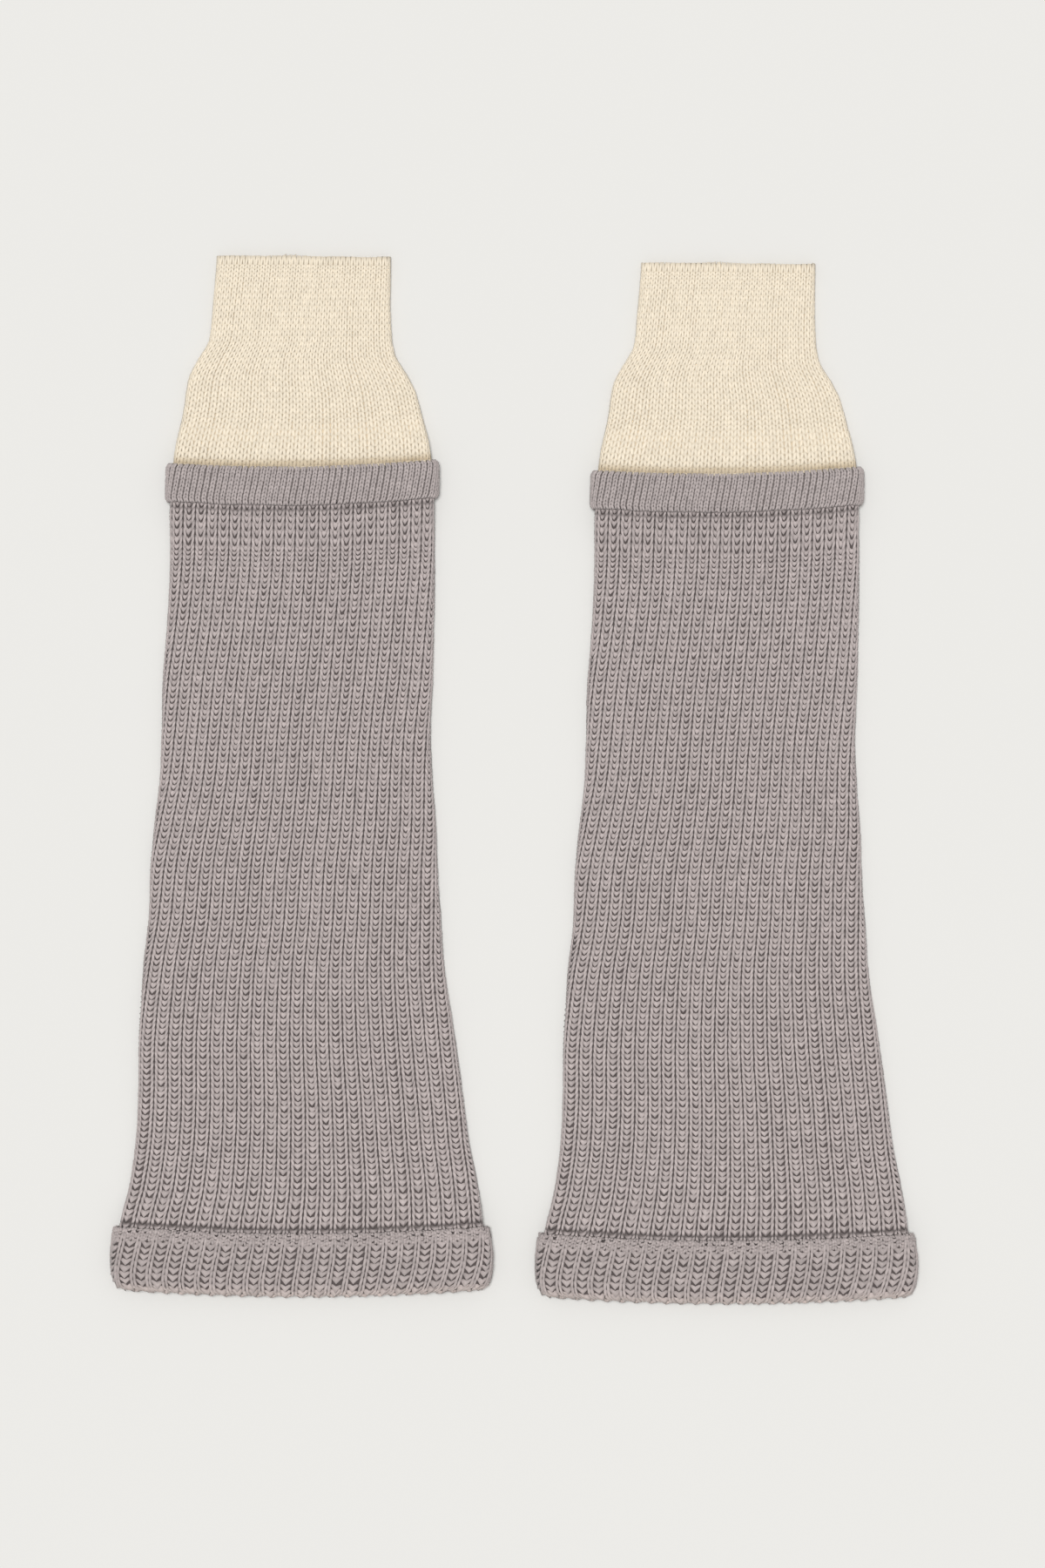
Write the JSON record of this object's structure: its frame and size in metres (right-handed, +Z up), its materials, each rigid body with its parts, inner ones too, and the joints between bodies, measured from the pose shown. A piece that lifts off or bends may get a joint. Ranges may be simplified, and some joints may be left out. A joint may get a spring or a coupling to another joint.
{
  "type": "pair of leg warmers",
  "caption": "Pair of rib-knitted leg warmers lying flat: a narrow cream cuff, a folded grey welt, a long grey leg that widens downwards and a turned-up hem on each.",
  "frame": {"origin": "centre of the bottom of the pair's bounding box, on the surface that it lies on", "axes": "+X from the left leg warmer to the right one, +Y from the hems to the cuffs, +Z up from the surface"},
  "size_m": [0.3896, 0.5043, 0.0101],
  "materials": {
    "cream_knit": "soft matt ribbed knit in a cream yarn",
    "grey_knit": "soft matt ribbed knit in a warm mauve-grey yarn"
  },
  "bodies": {
    "root": {"left_cuff_front": "cream_knit", "left_cuff_back": "cream_knit", "left_welt_front": "grey_knit", "left_welt_back": "grey_knit", "left_leg_front": "grey_knit", "left_leg_back": "grey_knit", "left_hem_front": "grey_knit", "left_hem_back": "grey_knit", "right_cuff_front": "cream_knit", "right_cuff_back": "cream_knit", "right_welt_front": "grey_knit", "right_welt_back": "grey_knit", "right_leg_front": "grey_knit", "right_leg_back": "grey_knit", "right_hem_front": "grey_knit", "right_hem_back": "grey_knit"}
  },
  "joints": []
}
